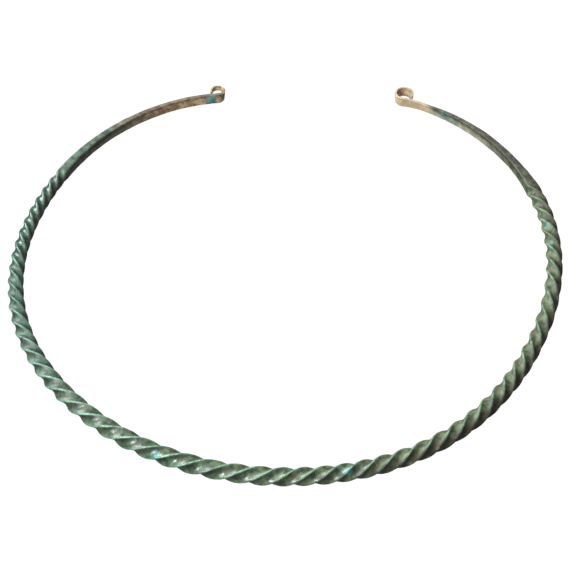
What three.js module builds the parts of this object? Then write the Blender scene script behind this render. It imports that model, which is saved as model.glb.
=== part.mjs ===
// A bronze neck ring (torc), lying flat, in millimetres, +Z up.
// One square bar: its middle is twisted into four spiral ridges, its ends are left plain,
// hammered out to upright straps and rolled outward into small eyelets.
// The gap between the eyelets faces +Y, and the thickest part of the twist faces -Y.
// Bearings are degrees clockwise, seen from above, from the middle of the gap.
import * as THREE from "three";

// The plan of the ring: a circle of the bar's middle line, pulled a little out of round by hand.
const RING_RADIUS = 87;
const HAND_BEND = [
  { order: 2, cosine: 1.1, sine: 1.45 },
  { order: 3, cosine: -0.6, sine: 1.0 },
  { order: 4, cosine: -0.65, sine: 0.35 },
  { order: 5, cosine: 0.1, sine: -0.3 },
  { order: 6, cosine: 0.25, sine: 0.15 },
];
// Each end is tucked in a little more just before its eyelet: from this bearing on,
// by so many millimetres for the square of each further degree.
const RIGHT_TUCK = { from: 33.5, pull: 0.033 };
const LEFT_TUCK = { from: 330, pull: 0.0066 };

// The twist: fourteen turns, a little tighter in some stretches than in others.
const TWIST_START = 68;
const TWIST_END = 297.5;
const TURNS_MADE = [0, 1.52, 2.73, 4.08, 5.42, 6.83, 8.04, 9.27, 10.74, 12.31, 14];

// From the bar's middle line out to a ridge, and how rounded the bar's corners are,
// as a share of half its side. Each pair is [bearing, value].
const RIDGE_REACH = [[68, 2.7], [110, 2.93], [155, 2.9], [200, 3.05], [225, 3.02], [255, 2.8], [297.5, 2.4]];
const ROUNDING = [[68, 0.45], [110, 0.38], [155, 0.35], [205, 0.33], [235, 0.36], [262, 0.4], [297.5, 0.5]];

// The height of the middle line, so that the ridges and straps lie on the ground.
const MIDDLE_HEIGHT = [
  [28.4, 1.95], [33, 1.62], [42, 1.98], [68, 2.7], [110, 2.93], [155, 2.9],
  [200, 3.05], [225, 3.02], [255, 2.8], [297.5, 2.4], [320, 2.14], [342, 2.1],
];

// The plain shanks, from the twist to the strap: [bearing, thickness across, height].
const RIGHT_SHANK = [
  [28.4, 1.1, 3.9], [33, 1.3, 3.2], [40, 1.6, 3.75], [50, 2.3, 4.1], [61, 3.1, 4], [68, 4.4, 4.4],
];
const LEFT_SHANK = [[297.5, 3.98, 3.98], [310, 3.1, 3.9], [324, 2.0, 4.1], [342, 1.3, 4.2]];
const SHANK_ROUNDING = 0.5;
const STRAP_CORNER = 0.2;

// The eyelets, each rolled outward from the end of its strap. lead is the straight run before the
// roll, roll is in degrees, lean is how far the rolled wall flares towards its upper edge, in degrees,
// and tipDrop is how far the tip's upper edge is worn below the strap's.
const RIGHT_EYELET = {
  bearing: 28.4, lead: 0.6, outside: 6.8, wall: 1.1, roll: 303, lean: 6,
  tipHeight: 3.9, tipWall: 0.9, tipDrop: 0,
};
const LEFT_EYELET = {
  bearing: 342, lead: 1, outside: 5.8, wall: 1.35, roll: 285, lean: 6,
  tipHeight: 2.0, tipWall: 0.9, tipDrop: 0.3,
};
const LEAN_FROM = 0.05;
// The strap thins to its tip between these shares of the roll.
const TAPER_FROM = 0.15;
const TAPER_TO = 0.5;

// How finely the bar is faceted.
const STEPS_PER_TURN = 20;
const SHANK_STEP = 2.5;
const EYELET_STEPS = 22;
const CORNER_POINTS = 3;
const SEARCH_STEP = 0.05;

const radians = THREE.MathUtils.degToRad;

// A smooth curve through a few [place, value] stations.
function smoothThrough(stations, place, column = 1) {
  const last = stations.length - 1;
  const at = THREE.MathUtils.clamp(place, stations[0][0], stations[last][0]);
  let i = 0;
  while (i < last - 1 && at > stations[i + 1][0]) i += 1;
  const slope = (k) => {
    const before = stations[Math.max(k - 1, 0)];
    const after = stations[Math.min(k + 1, last)];
    return (after[column] - before[column]) / (after[0] - before[0]);
  };
  const [from, to] = [stations[i], stations[i + 1]];
  const span = to[0] - from[0];
  const t = (at - from[0]) / span;
  const rise = t * t * (3 - 2 * t);
  return from[column] * (1 - rise) + to[column] * rise
    + span * t * (1 - t) * ((1 - t) * slope(i) - t * slope(i + 1));
}

// The bar's middle line in plan: where it is at a bearing, and which way it runs clockwise.
function planPoint(bearing) {
  const angle = radians(90 - bearing);
  let radius = RING_RADIUS;
  let growth = 0;
  for (const { order, cosine, sine } of HAND_BEND) {
    radius += cosine * Math.cos(order * angle) + sine * Math.sin(order * angle);
    growth += order * (sine * Math.cos(order * angle) - cosine * Math.sin(order * angle));
  }
  const tucks = [
    { pull: RIGHT_TUCK.pull, past: Math.max(0, RIGHT_TUCK.from - bearing), way: -1 },
    { pull: LEFT_TUCK.pull, past: Math.max(0, bearing - LEFT_TUCK.from), way: 1 },
  ];
  for (const { pull, past, way } of tucks) {
    radius -= pull * past * past;
    growth += THREE.MathUtils.RAD2DEG * 2 * way * pull * past;
  }
  const outward = new THREE.Vector2(Math.cos(angle), Math.sin(angle));
  const along = new THREE.Vector2(
    radius * Math.sin(angle) - growth * Math.cos(angle),
    -radius * Math.cos(angle) - growth * Math.sin(angle),
  ).normalize();
  return { place: outward.multiplyScalar(radius), along, outward: leftOf(along) };
}

function leftOf(direction) {
  return new THREE.Vector2(-direction.y, direction.x);
}

const TURN_STATIONS = TURNS_MADE.map((turns, i) => [
  THREE.MathUtils.lerp(TWIST_START, TWIST_END, i / (TURNS_MADE.length - 1)), turns,
]);

function turnsAt(bearing) {
  return smoothThrough(TURN_STATIONS, bearing);
}

// One cross-section of the bar: where it is, its half sizes, its corner radius and its twist.
function twistStation(bearing) {
  const { place, outward } = planPoint(bearing);
  const rounding = smoothThrough(ROUNDING, bearing);
  const half = smoothThrough(RIDGE_REACH, bearing) / ((1 - rounding) * Math.SQRT2 + rounding);
  const height = smoothThrough(MIDDLE_HEIGHT, bearing);
  return { place, outward, height, across: half, up: half, corner: rounding * half, turns: turnsAt(bearing) };
}

function shankStation(shank, bearing, turns) {
  const { place, outward } = planPoint(bearing);
  const across = smoothThrough(shank, bearing, 1) / 2;
  const up = smoothThrough(shank, bearing, 2) / 2;
  const height = smoothThrough(MIDDLE_HEIGHT, bearing);
  const corner = Math.max(STRAP_CORNER, SHANK_ROUNDING * (across - STRAP_CORNER));
  return { place, outward, height, across, up, corner, turns };
}

// An eyelet, from its strap round to its tip. side is 1 where the roll runs on clockwise
// round the ring, and -1 where it runs back the other way.
function eyeletStations(eyelet, side, turns, strapHeight) {
  const { place, along, outward } = planPoint(eyelet.bearing);
  const ahead = along.clone().multiplyScalar(side);
  const radius = (eyelet.outside - eyelet.wall) / 2;
  const centre = place.clone().addScaledVector(ahead, eyelet.lead).addScaledVector(outward, radius);
  const stations = [];
  for (let i = 0; i <= EYELET_STEPS; i += 1) {
    const share = i / EYELET_STEPS;
    const roll = radians(eyelet.roll * share);
    const inward = outward.clone().multiplyScalar(Math.cos(roll)).addScaledVector(ahead, -Math.sin(roll));
    const fade = THREE.MathUtils.smoothstep(share, TAPER_FROM, TAPER_TO);
    const tall = THREE.MathUtils.lerp(strapHeight, eyelet.tipHeight, fade);
    const top = strapHeight - eyelet.tipDrop * fade;
    const lean = eyelet.lean / 360 * THREE.MathUtils.smoothstep(share, LEAN_FROM, TAPER_FROM);
    stations.push({
      place: centre.clone().addScaledVector(inward, -radius),
      outward: inward,
      height: top - tall / 2,
      across: THREE.MathUtils.lerp(eyelet.wall, eyelet.tipWall, fade) / 2,
      up: tall / 2,
      corner: STRAP_CORNER,
      turns: turns - lean,
    });
  }
  return stations;
}

function bearingsBetween(from, to, step) {
  const count = Math.ceil((to - from) / step);
  return Array.from({ length: count + 1 }, (_, i) => THREE.MathUtils.lerp(from, to, i / count));
}

// Bearings that share the twist out evenly by turn.
function twistBearings() {
  const fine = bearingsBetween(TWIST_START, TWIST_END, SEARCH_STEP);
  const count = Math.round(STEPS_PER_TURN * TURNS_MADE.at(-1));
  let k = 0;
  return Array.from({ length: count + 1 }, (_, i) => {
    while (k < fine.length - 1 && turnsAt(fine[k]) < i / STEPS_PER_TURN) k += 1;
    return fine[k];
  });
}

function barStations() {
  const turns = TURNS_MADE.at(-1);
  const rightStrap = RIGHT_SHANK[0][2];
  const leftStrap = LEFT_SHANK.at(-1)[2];
  const right = bearingsBetween(RIGHT_EYELET.bearing, TWIST_START, SHANK_STEP).slice(0, -1);
  const left = bearingsBetween(TWIST_END, LEFT_EYELET.bearing, SHANK_STEP).slice(1);
  return [
    ...eyeletStations(RIGHT_EYELET, -1, 0, rightStrap).reverse(),
    ...right.map((bearing) => shankStation(RIGHT_SHANK, bearing, 0)),
    ...twistBearings().map(twistStation),
    ...left.map((bearing) => shankStation(LEFT_SHANK, bearing, turns)),
    ...eyeletStations(LEFT_EYELET, 1, turns, leftStrap),
  ];
}

// The outline of a cross-section, corner by corner, anticlockwise from the outward side.
function sectionOutline({ across, up, corner }) {
  const outline = [];
  for (const quarter of [0, 1, 2, 3]) {
    const [sideX, sideY] = [[1, 1], [-1, 1], [-1, -1], [1, -1]][quarter];
    for (let i = 0; i < CORNER_POINTS; i += 1) {
      const angle = (quarter + i / (CORNER_POINTS - 1)) * Math.PI / 2;
      outline.push([
        sideX * (across - corner) + corner * Math.cos(angle),
        sideY * (up - corner) + corner * Math.sin(angle),
      ]);
    }
  }
  return outline;
}

// The closed skin of the whole bar, swept through its stations, with a flat cap at each tip.
function barGeometry() {
  const stations = barStations();
  const positions = [];
  const faces = [];
  for (const station of stations) {
    const spin = -2 * Math.PI * station.turns;
    const [c, s] = [Math.cos(spin), Math.sin(spin)];
    for (const [x, y] of sectionOutline(station)) {
      const out = x * c - y * s;
      const plan = station.place.clone().addScaledVector(station.outward, out);
      positions.push(plan.x, plan.y, station.height + x * s + y * c);
    }
  }
  const around = CORNER_POINTS * 4;
  const last = stations.length - 1;
  for (let i = 0; i < last; i += 1) {
    for (let k = 0; k < around; k += 1) {
      const next = (k + 1) % around;
      const [a, b] = [i * around + k, i * around + next];
      faces.push(a, b, b + around, a, b + around, a + around);
    }
  }
  for (let k = 1; k < around - 1; k += 1) {
    faces.push(0, k + 1, k);
    faces.push(last * around, last * around + k, last * around + k + 1);
  }
  const geometry = new THREE.BufferGeometry();
  geometry.setAttribute("position", new THREE.Float32BufferAttribute(positions, 3));
  geometry.setIndex(faces);
  return geometry;
}

// The origin is under the middle of the ring, on the ground.
function standAtOrigin(geometry) {
  geometry.computeBoundingBox();
  const { min, max } = geometry.boundingBox;
  geometry.translate(-(min.x + max.x) / 2, -(min.y + max.y) / 2, -min.z);
  geometry.computeVertexNormals();
  return geometry;
}

const bronze = new THREE.MeshStandardMaterial({ color: 0x5c7059, roughness: 0.55, metalness: 0.6 });
const ring = new THREE.Mesh(standAtOrigin(barGeometry()), bronze);
ring.name = "twisted_neck_ring";

const torc = new THREE.Group();
torc.add(ring);
export default torc;
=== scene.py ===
"""An ancient bronze torc: one square bar, twisted, thinned to plain shanks and rolled into eyelets."""
import math

import bpy
import numpy as np
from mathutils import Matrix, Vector


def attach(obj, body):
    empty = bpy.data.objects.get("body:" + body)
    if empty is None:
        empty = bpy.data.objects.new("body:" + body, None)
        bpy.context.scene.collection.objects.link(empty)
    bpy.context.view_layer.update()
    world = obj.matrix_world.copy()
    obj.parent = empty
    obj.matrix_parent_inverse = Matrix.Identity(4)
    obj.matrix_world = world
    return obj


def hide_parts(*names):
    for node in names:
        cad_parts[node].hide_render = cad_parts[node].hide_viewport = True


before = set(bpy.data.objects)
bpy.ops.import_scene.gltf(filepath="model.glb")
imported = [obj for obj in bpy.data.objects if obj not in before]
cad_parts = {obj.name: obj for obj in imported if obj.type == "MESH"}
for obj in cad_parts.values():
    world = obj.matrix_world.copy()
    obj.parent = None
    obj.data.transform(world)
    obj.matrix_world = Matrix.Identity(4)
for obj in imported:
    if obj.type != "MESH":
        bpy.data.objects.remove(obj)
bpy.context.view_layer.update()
MM = 0.001

# ---------------------------------------------------------------- the bar's named sizes, in mm
# Bearings are degrees clockwise, seen from above, from the middle of the gap.
RING_RADIUS = 87
HAND_BEND = [(2, 1.1, 1.45), (3, -0.6, 1.0), (4, -0.65, 0.35), (5, 0.1, -0.3), (6, 0.25, 0.15)]
RIGHT_TUCK = (33.5, 0.033)
LEFT_TUCK = (330, 0.0066)

TWIST_START = 68
TWIST_END = 297.5
TURNS_MADE = [0, 1.52, 2.73, 4.08, 5.42, 6.83, 8.04, 9.27, 10.74, 12.31, 14]
RIDGE_REACH = [(68, 2.7), (110, 2.93), (155, 2.9), (200, 3.05), (225, 3.02), (255, 2.8), (297.5, 2.4)]
ROUNDING = [(68, 0.45), (110, 0.38), (155, 0.35), (205, 0.33), (235, 0.36), (262, 0.4), (297.5, 0.5)]
MIDDLE_HEIGHT = [
    (28.4, 1.95), (33, 1.62), (42, 1.98), (68, 2.7), (110, 2.93), (155, 2.9),
    (200, 3.05), (225, 3.02), (255, 2.8), (297.5, 2.4), (320, 2.14), (342, 2.1),
]
RIGHT_WIDTH = [(28.4, 1.1), (33, 1.3), (40, 1.6), (50, 2.3), (61, 3.1), (68, 4.4)]
RIGHT_TALL = [(28.4, 3.9), (33, 3.2), (40, 3.75), (50, 4.1), (61, 4), (68, 4.4)]
LEFT_WIDTH = [(297.5, 3.98), (310, 3.1), (324, 2.0), (342, 1.3)]
LEFT_TALL = [(297.5, 3.98), (310, 3.9), (324, 4.1), (342, 4.2)]
SHANK_ROUNDING = 0.5
# How deep the twisted facets are hollowed, as a share of half the bar's width.
HOLLOW = 0.07
STRAP_CORNER = 0.2

# bearing, straight lead, width outside, wall, degrees rolled and leaned, the tip's height, wall and drop
RIGHT_EYELET = (28.4, 0.6, 6.8, 1.1, 303, 6, 3.9, 0.9, 0)
LEFT_EYELET = (342, 1, 5.8, 1.35, 285, 6, 2.0, 0.9, 0.3)
LEAN_FROM = 0.05
TAPER_FROM = 0.15
TAPER_TO = 0.5

# How finely the skin is divided: rows along each stretch, and points round a quarter section.
EYELET_ROWS = 80
SHANK_ROWS = 150
TWIST_ROWS = 1300
ARC_POINTS = 7
FLAT_POINTS = 5
AROUND = 4 * (ARC_POINTS + FLAT_POINTS)
SEAM_GAP = 0.0005

# ---------------------------------------------------------------- the patina's named zones, with painted shade and light
# How a finish changes along the bar, as (bearing, share) stations. An eyelet's rows go on past its
# shank for EYELET_SPAN degrees.
EYELET_SPAN = 10
# Even all round the bar: teal over olive, duller olive, the tan and brown ends, and the polish.
TEAL = [(100, 0.1), (160, 0.25), (190, 0.4), (220, 0.6), (250, 1), (300, 0.9)]
DULL = [(34, 0), (37, 0.9), (60, 1), (76, 0.9), (150, 0.8), (185, 0)]
TAN = [(29, 1), (34, 0.9), (36, 0.1), (38, 0)]
BROWN = [(314, 0), (326, 0.85), (345, 1)]
POLISH = [
    (60, 0), (140, 0.1), (170, 0.65), (215, 0.65), (235, 0.25), (266, 0.25), (274, 1), (290, 1),
    (297, 0.4), (342, 0.4),
]
# Brown stains in the middle of the facets, pale rubbed ridges with a painted highlight on their flanks,
# and painted shade on the outer side of a ridge.
STAINED = [(60, 0.5), (90, 1), (230, 1), (260, 0.3), (297, 0.2), (310, 1)]
RUBBED_AND_FLANK_HIGHLIGHT = [(60, 0), (72, 0.3), (140, 0.4), (180, 0.8), (225, 0.8), (262, 0.25), (290, 0.15), (305, 0.1)]
SHADED = [(130, 0), (160, 0.75), (235, 0.75), (262, 0.3), (275, 0)]
# Painted shade, dark and warm: on the outer side along the right, on the inner side along the left, and
# on top of the right shank. In an eyelet the outer side is its hole, so there it is painted shade in the
# hole.
OUTER_SHADE = [
    (18, 0.5), (27, 0.4), (30, 0), (40, 0.7), (66, 0.8), (90, 1), (150, 1), (170, 0.4), (200, 0),
    (342, 0), (345, 0.4),
]
INNER_SHADE = [(230, 0), (255, 0.3), (280, 0.5), (300, 0.9), (312, 1), (320, 0.3), (326, 0)]
TOP_SHADE = [(34, 0), (36, 0.7), (60, 0.8), (72, 0.5), (82, 0)]
# Painted shade in grey on top of the shanks, straps and eyelets, and pale ash with painted bounce light
# from the table along their lower edges.
TOP_GREY_SHADE = [
    (18, 0.3), (33, 0.3), (35.5, 0.9), (58, 0.7), (68, 0), (312, 0), (320, 0.9), (342, 0.8), (346, 0.4),
]
LOW_ASH_AND_BOUNCE = [
    (33.5, 0), (35.5, 0.9), (45, 0.8), (52, 0.35), (60, 0), (298, 0), (306, 0.45), (322, 0.45), (330, 0),
]
# Shares that are the same all along the bar.
PITTED_SHARE = 0.6
FLANK_WEAR_AND_HIGHLIGHT_SHARE = 0.4
SPOTTED_SHARE = 0.7

# How far a point has to face a way, or be near a ridge, for a finish or a painted shade or light to
# start and to be full.
SIDE_FACE = (0.2, 0.85)
TOP_FACE = (0.3, 0.75)
TOP_SHADE_FACE = (0.1, 0.7)
LOW_EDGE = (-0.6, 0.3)
OUTER_HALF = (-0.4, 0.4)
RIDGE_FLANK = (0.35, 0.85)
RIDGE_CREST = (0.76, 0.96)
MID_FACET = (-0.65, -0.15)
CRUST_EDGE = (-1.4, -0.6)
SHADE_REACH = 1.2

# Turquoise crusts, each with its place and its width in mm, and how thick it is.
CRUSTS = [
    ((18, -83.4, 5.6), 1.5, 0.9), ((-39.1, -77.1, 4.9), 1.4, 0.9), ((86.2, 17, 5), 1.3, 0.7),
    ((86.6, 8.7, 4.9), 0.9, 0.5), ((-26.8, 80.7, 2), 2.2, 1), ((55.9, 72.2, 1.6), 2.4, 0.4),
    ((58.6, 70.1, 1.1), 2, 0.35),
]

# The patina's darker and paler olive, and the layers over it, painted shade and light among them,
# each over the last: the painted share, the width of its patches in mm, the noise value where they
# start and where they are full, and its darker and paler colours.
OLIVE = ("46523a", "7a9164")
LAYERS = [
    ("teal", 3, 0, 0.1, "24423a", "466c5a"),
    ("dull", 3, 0, 0.1, "38432e", "5c6e4c"),
    ("stained", 2.2, 0.52, 0.66, "5c5640", "75684f"),
    ("pitted", 1, 0.56, 0.7, "282b22", "34392d"),
    # Rubbed patina, and a painted highlight on the ridge flanks.
    ("flank_wear_and_highlight", 2, 0.2, 0.4, "6f9a80", "80ad92"),
    ("rubbed", 1.6, 0.35, 0.55, "86b8a0", "9bcdb6"),
    ("shaded", 3, 0.25, 0.5, "1c2a22", "2f4034"),
    ("tan", 3, 0.25, 0.35, "d3b995", "e4cba8"),
    ("brown", 2.6, 0.22, 0.36, "bb966f", "eccc98"),
    ("spotted", 1.3, 0.5, 0.58, "70432f", "8e5f48"),
    # Painted shade in grey on the upward faces.
    ("painted_top_shade", 3, 0, 0.1, "46453a", "656152"),
    # Painted shade on the sides and tops named above, and in the eyelet holes.
    ("painted_shade", 2.5, 0.3, 0.55, "322d20", "464030"),
    # Pale ash, and painted bounce light from below.
    ("ash_and_bounce_light", 3, 0.25, 0.45, "a6a890", "c8c4aa"),
    ("crust", 0.9, 0.3, 0.5, "3f807f", "7cb4ab"),
]
# Sizes in mm: the change from darker to paler, the change in roughness, and the grain.
TONE_SIZE = 2.4
TONE_RANGE = (0.38, 0.62)
WORN_SIZE = 1.5
GRAIN_SIZE = 0.5
GRAIN_DEPTH = 0.1
GRAIN_STRENGTH = 0.2
NOISE_DETAIL = 4
# Roughness, from the most worn place to the least.
MATT = (0.4, 0.8)
GLOSSY = (0.05, 0.28)
PATINA_IOR = 1.6

# Lumps worn into the skin: their width and depth, in mm.
HAMMERED = (3.5, 0.16)
CORRODED = (0.9, 0.1)
SHARP_ANGLE = 50

# ---------------------------------------------------------------- the studio
# Softboxes: degrees clockwise from the gap, degrees up, side in m, and power in W.
SOFTBOXES = {
    "front_left_softbox": (-128, 41, 0.3, 11),
    "back_left_softbox": (-45, 32, 0.6, 11),
    "overhead_softbox": (-60, 70, 0.9, 5.5),
}
SOFTBOX_DISTANCE = 1.1
SKY_STRENGTH = 0.2
TABLE_SIZE = 6
TABLE_GLOW = 1.05

# The eye's place, in mm from the middle of the ring.
LENS = 112.6
SENSOR_WIDTH = 36
CAMERA_TARGET = (-0.537, -5.52, 0.04)
CAMERA_DISTANCE = 580
CAMERA_ELEVATION = 48.44


# ---------------------------------------------------------------- shape of the bar
def smooth_through(stations, place):
    """A smooth curve through a few (place, value) stations."""
    last = len(stations) - 1
    at = min(max(place, stations[0][0]), stations[last][0])
    i = 0
    while i < last - 1 and at > stations[i + 1][0]:
        i += 1

    def slope(k):
        before = stations[max(k - 1, 0)]
        after = stations[min(k + 1, last)]
        return (after[1] - before[1]) / (after[0] - before[0])

    (x0, y0), (x1, y1) = stations[i], stations[i + 1]
    span = x1 - x0
    t = (at - x0) / span
    rise = t * t * (3 - 2 * t)
    return y0 * (1 - rise) + y1 * rise + span * t * (1 - t) * ((1 - t) * slope(i) - t * slope(i + 1))


def smoothstep(value, low, high):
    t = min(max((value - low) / (high - low), 0), 1)
    return t * t * (3 - 2 * t)


def mix(a, b, share):
    return a + (b - a) * share


TURN_STATIONS = [
    (mix(TWIST_START, TWIST_END, i / (len(TURNS_MADE) - 1)), turns) for i, turns in enumerate(TURNS_MADE)
]


def left_of(direction):
    return Vector((-direction.y, direction.x))


def plan_point(bearing):
    """Where the bar's middle line is at a bearing, which way it runs clockwise, and outward."""
    angle = math.radians(90 - bearing)
    radius = RING_RADIUS
    growth = 0
    for order, cosine, sine in HAND_BEND:
        radius += cosine * math.cos(order * angle) + sine * math.sin(order * angle)
        growth += order * (sine * math.cos(order * angle) - cosine * math.sin(order * angle))
    for pull, past, way in (
        (RIGHT_TUCK[1], max(0, RIGHT_TUCK[0] - bearing), -1),
        (LEFT_TUCK[1], max(0, bearing - LEFT_TUCK[0]), 1),
    ):
        radius -= pull * past * past
        growth += math.degrees(2 * way * pull * past)
    place = Vector((math.cos(angle), math.sin(angle))) * radius
    along = Vector((
        radius * math.sin(angle) - growth * math.cos(angle),
        -radius * math.cos(angle) - growth * math.sin(angle),
    )).normalized()
    return place, along, left_of(along)


def twist_section(bearing):
    place, _, outward = plan_point(bearing)
    rounding = smooth_through(ROUNDING, bearing)
    half = smooth_through(RIDGE_REACH, bearing) / ((1 - rounding) * math.sqrt(2) + rounding)
    return {
        "place": place, "outward": outward, "height": smooth_through(MIDDLE_HEIGHT, bearing),
        "across": half, "up": half, "corner": rounding * half, "hollow": HOLLOW * half,
        "turns": smooth_through(TURN_STATIONS, bearing),
    }


def shank_section(widths, talls, bearing, turns):
    place, _, outward = plan_point(bearing)
    across = smooth_through(widths, bearing) / 2
    return {
        "place": place, "outward": outward, "height": smooth_through(MIDDLE_HEIGHT, bearing),
        "across": across, "up": smooth_through(talls, bearing) / 2,
        "corner": max(STRAP_CORNER, SHANK_ROUNDING * (across - STRAP_CORNER)),
        "turns": turns,
    }


def eyelet_sections(eyelet, side, turns, strap_tall):
    """An eyelet from its strap round to its tip. side is 1 clockwise round the ring and -1 back."""
    bearing, lead, outside, wall, roll, lean, tip_tall, tip_wall, tip_drop = eyelet
    place, along, outward = plan_point(bearing)
    ahead = along * side
    radius = (outside - wall) / 2
    centre = place + ahead * lead + outward * radius
    sections = []
    for i in range(EYELET_ROWS + 1):
        share = i / EYELET_ROWS
        turned = math.radians(roll * share)
        inward = outward * math.cos(turned) - ahead * math.sin(turned)
        fade = smoothstep(share, TAPER_FROM, TAPER_TO)
        tall = mix(strap_tall, tip_tall, fade)
        sections.append({
            "place": centre - inward * radius, "outward": inward,
            "height": strap_tall - tip_drop * fade - tall / 2,
            "across": mix(wall, tip_wall, fade) / 2, "up": tall / 2, "corner": STRAP_CORNER,
            "turns": turns - lean / 360 * smoothstep(share, LEAN_FROM, TAPER_FROM),
        })
    return sections


def bar_sections():
    turns = TURNS_MADE[-1]
    right = [
        shank_section(RIGHT_WIDTH, RIGHT_TALL, mix(RIGHT_EYELET[0], TWIST_START, i / SHANK_ROWS), 0)
        for i in range(SHANK_ROWS)
    ]
    twist = [twist_section(mix(TWIST_START, TWIST_END, i / TWIST_ROWS)) for i in range(TWIST_ROWS + 1)]
    left = [
        shank_section(LEFT_WIDTH, LEFT_TALL, mix(TWIST_END, LEFT_EYELET[0], (i + 1) / SHANK_ROWS), turns)
        for i in range(SHANK_ROWS)
    ]
    first = eyelet_sections(RIGHT_EYELET, -1, 0, RIGHT_TALL[0][1])
    last = eyelet_sections(LEFT_EYELET, 1, turns, LEFT_TALL[-1][1])
    return first[::-1] + right + twist + left + last


def section_outline(section):
    """The outline round one section, from the outward side by way of the top."""
    across, up, corner = section["across"], section["up"], section["corner"]
    corners = [(1, 1), (-1, 1), (-1, -1), (1, -1)]
    outline = []
    for quarter, (side_x, side_y) in enumerate(corners):
        arc = []
        for i in range(ARC_POINTS):
            angle = (quarter + i / (ARC_POINTS - 1)) * math.pi / 2
            arc.append((
                side_x * (across - corner) + corner * math.cos(angle),
                side_y * (up - corner) + corner * math.sin(angle),
            ))
        outline += arc
        next_x, next_y = corners[(quarter + 1) % 4]
        angle = (quarter + 1) * math.pi / 2
        start = arc[-1]
        end = (
            next_x * (across - corner) + corner * math.cos(angle),
            next_y * (up - corner) + corner * math.sin(angle),
        )
        for i in range(FLAT_POINTS):
            share = (i + 1) / (FLAT_POINTS + 1)
            dip = section.get("hollow", 0) * 4 * share * (1 - share)
            outline.append((
                mix(start[0], end[0], share) - dip * math.cos(angle),
                mix(start[1], end[1], share) - dip * math.sin(angle),
            ))
    return outline


def bar_skin():
    """Every point of the skin in mm, row by row, and how far each one faces outwards and upwards."""
    sections = bar_sections()
    points = np.zeros((len(sections), AROUND, 3))
    outer = np.zeros((len(sections), AROUND))
    upward = np.zeros((len(sections), AROUND))
    for row, section in enumerate(sections):
        spin = -2 * math.pi * section["turns"]
        c, s = math.cos(spin), math.sin(spin)
        for k, (x, y) in enumerate(section_outline(section)):
            points[row, k, :2] = section["place"] + section["outward"] * (x * c - y * s)
            points[row, k, 2] = section["height"] + x * s + y * c
            share_x, share_y = x / section["across"], y / section["up"]
            reach = math.hypot(share_x, share_y)
            outer[row, k] = (share_x * c - share_y * s) / reach
            upward[row, k] = (share_x * s + share_y * c) / reach
    return points, outer, upward


def ridge_share():
    """How near each point round a section is to a ridge: 1 on it, falling to 0 in mid facet."""
    quarter = ARC_POINTS + FLAT_POINTS
    from_crest = np.abs(np.arange(quarter) - (ARC_POINTS - 1) / 2)
    return np.tile(1 - from_crest / from_crest.max(), 4)


def below_ridge():
    """How near each point round a section is to the next ridge up, where light seldom falls."""
    quarter = ARC_POINTS + FLAT_POINTS
    steps = (-np.arange(quarter)) % quarter
    return np.tile(np.clip(SHADE_REACH - steps / FLAT_POINTS, 0, 1), 4)


def row_bearings():
    """The bearing of each row. An eyelet's rows count on past its shank, by EYELET_SPAN in all."""
    eyelet = np.linspace(0, EYELET_SPAN, EYELET_ROWS + 1)
    return np.concatenate([
        RIGHT_EYELET[0] - eyelet[::-1],
        np.linspace(RIGHT_EYELET[0], TWIST_START, SHANK_ROWS, endpoint=False),
        np.linspace(TWIST_START, TWIST_END, TWIST_ROWS + 1),
        np.linspace(TWIST_END, LEFT_EYELET[0], SHANK_ROWS + 1)[1:],
        LEFT_EYELET[0] + eyelet,
    ])


# ---------------------------------------------------------------- modelling
def deselect():
    if bpy.context.mode != "OBJECT":
        bpy.ops.object.mode_set(mode="OBJECT")
    bpy.ops.object.select_all(action="DESELECT")


def paint(piece, name, values):
    """Keeps one number a point on the mesh, for the finish to read."""
    closed = np.concatenate([values, values[:, :1]], axis=1).astype(np.float32)
    piece.data.attributes.new(name, "FLOAT", "POINT").data.foreach_set("value", closed.ravel())


def wear(piece, name, size, depth):
    """Wears the skin inwards by up to depth, in lumps of about size, both in mm."""
    texture = bpy.data.textures.new(name, "CLOUDS")
    texture.noise_scale = size * MM
    modifier = piece.modifiers.new(name, "DISPLACE")
    modifier.texture = texture
    modifier.texture_coords = "LOCAL"
    modifier.mid_level = 1
    modifier.strength = depth * MM
    bpy.ops.object.modifier_apply(modifier=name)


def zone(rows, stations):
    """A share that changes along the bar, through (bearing, share) stations, as a column."""
    return np.interp(rows, [s[0] for s in stations], [s[1] for s in stations])[:, None]


def rising(values, low, high):
    """0 where the values are below low, 1 where they are above high, and smooth between."""
    share = np.clip((values - low) / (high - low), 0, 1)
    return share * share * (3 - 2 * share)


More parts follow.
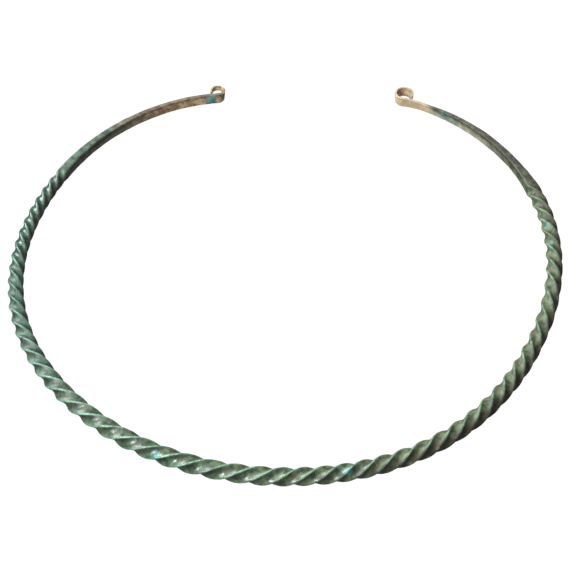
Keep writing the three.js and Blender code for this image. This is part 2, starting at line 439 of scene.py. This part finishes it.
def paint_patina_shade_and_light(ring, points, outer, upward, rows):
    """Where the patina changes over the ring, and where shade and light are painted on, as shares from 0
    to 1.
    """
    even = np.ones_like(outer)
    ridge = ridge_share()[None, :] * even
    # Painted shade on outer, inner and top faces, where the light is meant to fall less.
    painted_shade = rising(outer, *SIDE_FACE) * zone(rows, OUTER_SHADE)
    painted_shade += rising(-outer, *SIDE_FACE) * zone(rows, INNER_SHADE)
    painted_shade += rising(upward, *TOP_SHADE_FACE) * zone(rows, TOP_SHADE)
    crust = np.zeros_like(outer)
    for place, size, thickness in CRUSTS:
        reach = np.linalg.norm(points - np.array(place), axis=2) / size
        crust = np.maximum(crust, thickness * rising(-reach, *CRUST_EDGE))
    paint(ring, "teal", even * zone(rows, TEAL))
    paint(ring, "dull", even * zone(rows, DULL))
    paint(ring, "stained", rising(-ridge, *MID_FACET) * zone(rows, STAINED))
    paint(ring, "pitted", even * PITTED_SHARE)
    # A paler band along each ridge: rubbed patina, and a painted highlight on the flanks.
    paint(ring, "flank_wear_and_highlight", FLANK_WEAR_AND_HIGHLIGHT_SHARE * rising(ridge, *RIDGE_FLANK) * zone(rows, RUBBED_AND_FLANK_HIGHLIGHT))
    paint(ring, "rubbed", rising(ridge, *RIDGE_CREST) * zone(rows, RUBBED_AND_FLANK_HIGHLIGHT))
    paint(ring, "shaded", below_ridge()[None, :] * rising(outer, *OUTER_HALF) * zone(rows, SHADED))
    paint(ring, "tan", even * zone(rows, TAN))
    paint(ring, "brown", even * zone(rows, BROWN))
    paint(ring, "spotted", even * zone(rows, BROWN) * SPOTTED_SHARE)
    # Painted shade in grey on the upward faces of the shanks, straps and eyelets.
    paint(ring, "painted_top_shade", rising(upward, *TOP_FACE) * zone(rows, TOP_GREY_SHADE))
    # Painted shade on the outer, inner and top faces and in the eyelet holes.
    paint(ring, "painted_shade", np.clip(painted_shade, 0, 1))
    # Pale ash, and painted bounce light from the table, on the downward faces.
    paint(ring, "ash_and_bounce_light", rising(-upward, *LOW_EDGE) * zone(rows, LOW_ASH_AND_BOUNCE))
    paint(ring, "crust", crust)
    paint(ring, "polish", even * zone(rows, POLISH))


def model_ring():
    """The whole torc as one closed skin: a grid wrapped round the bar, seamed and capped."""
    deselect()
    rows = row_bearings()
    bpy.ops.mesh.primitive_grid_add(x_subdivisions=AROUND, y_subdivisions=len(rows) - 1, size=1)
    ring = bpy.context.object
    ring.name = "twisted_torc_ring"
    points, outer, upward = bar_skin()
    low = points.reshape(-1, 3).min(axis=0)
    high = points.reshape(-1, 3).max(axis=0)
    points -= np.array([(low[0] + high[0]) / 2, (low[1] + high[1]) / 2, low[2]])
    paint_patina_shade_and_light(ring, points, outer, upward, rows)
    ring.data.vertices.foreach_set("co", np.concatenate([points, points[:, :1]], axis=1).ravel() * MM)

    bpy.ops.object.mode_set(mode="EDIT")
    bpy.ops.mesh.select_all(action="SELECT")
    bpy.ops.mesh.remove_doubles(threshold=SEAM_GAP * MM)
    bpy.ops.mesh.fill_holes(sides=0)
    bpy.ops.mesh.select_all(action="SELECT")
    bpy.ops.mesh.normals_make_consistent(inside=False)
    bpy.ops.object.mode_set(mode="OBJECT")

    wear(ring, "hammered", *HAMMERED)
    wear(ring, "corroded", *CORRODED)
    bpy.ops.object.shade_smooth_by_angle(angle=math.radians(SHARP_ANGLE))
    return ring


# ---------------------------------------------------------------- finishes
def linear(colour):
    """A linear colour from an sRGB hex value."""
    channels = [int(colour[i:i + 2], 16) / 255 for i in (0, 2, 4)]
    return [c / 12.92 if c <= 0.04045 else ((c + 0.055) / 1.055) ** 2.4 for c in channels] + [1]


def add(tree, kind, settings, inputs):
    """Adds one node with its settings. An input is a value, or the socket that feeds it."""
    new = tree.nodes.new("ShaderNode" + kind)
    for name, value in settings.items():
        setattr(new, name, value)
    for name, value in inputs.items():
        if isinstance(value, bpy.types.NodeSocket):
            tree.links.new(value, new.inputs[name])
        else:
            new.inputs[name].default_value = value
    return new


def patinated_bronze():
    """Cast and hammered bronze with a smooth buried patina: olive to teal green with brown stains,
    rubbed paler along the ridges, with a few crusts of turquoise. The eye sees a hard, lightly waxed,
    stone-like skin with soft highlights, and warm tan and brown where the ends were thinned. The colour
    also holds painted shade, beside the ridges, on some sides and tops and in the eyelets, and painted
    light: bounce light along the lower edges and a highlight on the ridge flanks."""
    material = bpy.data.materials.new("patinated_bronze")
    material.use_nodes = True
    tree = material.node_tree
    shader = tree.nodes["Principled BSDF"]
    place = add(tree, "TexCoord", {}, {}).outputs["Object"]
    tone_noise = add(tree, "TexNoise", {}, {
        "Vector": place, "Scale": 1 / (TONE_SIZE * MM), "Detail": NOISE_DETAIL,
    }).outputs["Fac"]
    tone = add(tree, "MapRange", {"interpolation_type": "SMOOTHSTEP"}, {
        "Value": tone_noise, "From Min": TONE_RANGE[0], "From Max": TONE_RANGE[1],
    }).outputs["Result"]
    colour = add(tree, "Mix", {"data_type": "RGBA"}, {
        0: tone, 6: linear(OLIVE[0]), 7: linear(OLIVE[1]),
    }).outputs[2]
    for i, (name, size, low, high, darker, paler) in enumerate(LAYERS):
        painted = add(tree, "Attribute", {"attribute_name": name}, {}).outputs["Fac"]
        noise = add(tree, "TexNoise", {"noise_dimensions": "4D"}, {
            "Vector": place, "W": i, "Scale": 1 / (size * MM), "Detail": NOISE_DETAIL,
        }).outputs["Fac"]
        patches = add(tree, "MapRange", {"interpolation_type": "SMOOTHSTEP"}, {
            "Value": noise, "From Min": low, "From Max": high,
        }).outputs["Result"]
        share = add(tree, "Math", {"operation": "MULTIPLY"}, {0: painted, 1: patches}).outputs[0]
        layer = add(tree, "Mix", {"data_type": "RGBA"}, {
            0: tone, 6: linear(darker), 7: linear(paler),
        }).outputs[2]
        colour = add(tree, "Mix", {"data_type": "RGBA"}, {0: share, 6: colour, 7: layer}).outputs[2]
    tree.links.new(colour, shader.inputs["Base Color"])
    shader.inputs["IOR"].default_value = PATINA_IOR

    worn = add(tree, "TexNoise", {}, {
        "Vector": place, "Scale": 1 / (WORN_SIZE * MM), "Detail": NOISE_DETAIL,
    }).outputs["Fac"]
    matt = add(tree, "MapRange", {}, {
        "Value": worn, "To Min": MATT[0], "To Max": MATT[1],
    }).outputs["Result"]
    glossy = add(tree, "MapRange", {}, {
        "Value": worn, "To Min": GLOSSY[0], "To Max": GLOSSY[1],
    }).outputs["Result"]
    polish = add(tree, "Attribute", {"attribute_name": "polish"}, {}).outputs["Fac"]
    roughness = add(tree, "Mix", {"data_type": "FLOAT"}, {0: polish, 2: matt, 3: glossy}).outputs[0]
    tree.links.new(roughness, shader.inputs["Roughness"])

    # Corrosion grain is finer than 0.1 mm: it is drawn at 0.5 mm so that it shows.
    grain = add(tree, "TexNoise", {}, {
        "Vector": place, "Scale": 1 / (GRAIN_SIZE * MM), "Detail": NOISE_DETAIL,
    }).outputs["Fac"]
    bumps = add(tree, "Bump", {}, {
        "Height": grain, "Strength": GRAIN_STRENGTH, "Distance": GRAIN_DEPTH * MM,
    }).outputs["Normal"]
    tree.links.new(bumps, shader.inputs["Normal"])
    return material


def white_table():
    """An even white field, as under a cut-out."""
    material = bpy.data.materials.new("white_table")
    material.use_nodes = True
    tree = material.node_tree
    tree.nodes.clear()
    light = add(tree, "Emission", {}, {"Color": (1, 1, 1, 1), "Strength": TABLE_GLOW}).outputs[0]
    add(tree, "OutputMaterial", {}, {"Surface": light})
    return material


# ---------------------------------------------------------------- table, light and camera
def lay_table():
    """It shows to the eye alone, so that the torc keeps its dark lower sides."""
    deselect()
    bpy.ops.mesh.primitive_plane_add(size=TABLE_SIZE, location=(0, 0, 0))
    table = bpy.context.object
    table.name = "table"
    table.data.materials.append(white_table())
    table.visible_diffuse = False
    table.visible_glossy = False
    table.visible_shadow = False


def softbox(name, azimuth, elevation, side, power):
    """A square light above the torc that faces it: degrees clockwise from the gap, and degrees up."""
    turn, rise = math.radians(azimuth), math.radians(elevation)
    level = math.cos(rise)
    toward = Vector((math.sin(turn) * level, math.cos(turn) * level, math.sin(rise)))
    light = bpy.data.lights.new(name, "AREA")
    light.shape = "SQUARE"
    light.size = side
    light.energy = power
    lamp = bpy.data.objects.new(name, light)
    lamp.location = toward * SOFTBOX_DISTANCE
    lamp.rotation_euler = (-toward).to_track_quat("-Z", "Y").to_euler()
    bpy.context.collection.objects.link(lamp)


def light_studio():
    for name, setup in SOFTBOXES.items():
        softbox(name, *setup)
    world = bpy.context.scene.world or bpy.data.worlds.new("studio")
    bpy.context.scene.world = world
    world.use_nodes = True
    world.node_tree.nodes["Background"].inputs["Color"].default_value = (1, 1, 1, 1)
    world.node_tree.nodes["Background"].inputs["Strength"].default_value = SKY_STRENGTH


def set_camera():
    data = bpy.data.cameras.new("camera")
    data.lens = LENS
    data.sensor_width = SENSOR_WIDTH
    camera = bpy.data.objects.new("camera", data)
    tilt = math.radians(CAMERA_ELEVATION)
    target = Vector(CAMERA_TARGET) * MM
    back = Vector((0, -math.cos(tilt), math.sin(tilt)))
    camera.location = target + back * CAMERA_DISTANCE * MM
    camera.rotation_euler = (-back).to_track_quat("-Z", "Y").to_euler()
    bpy.context.collection.objects.link(camera)
    bpy.context.scene.camera = camera
    bpy.context.scene.view_settings.view_transform = "Standard"


ring = model_ring()
ring.data.materials.append(patinated_bronze())
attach(ring, "root")
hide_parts("twisted_neck_ring")
lay_table()
light_studio()
set_camera()
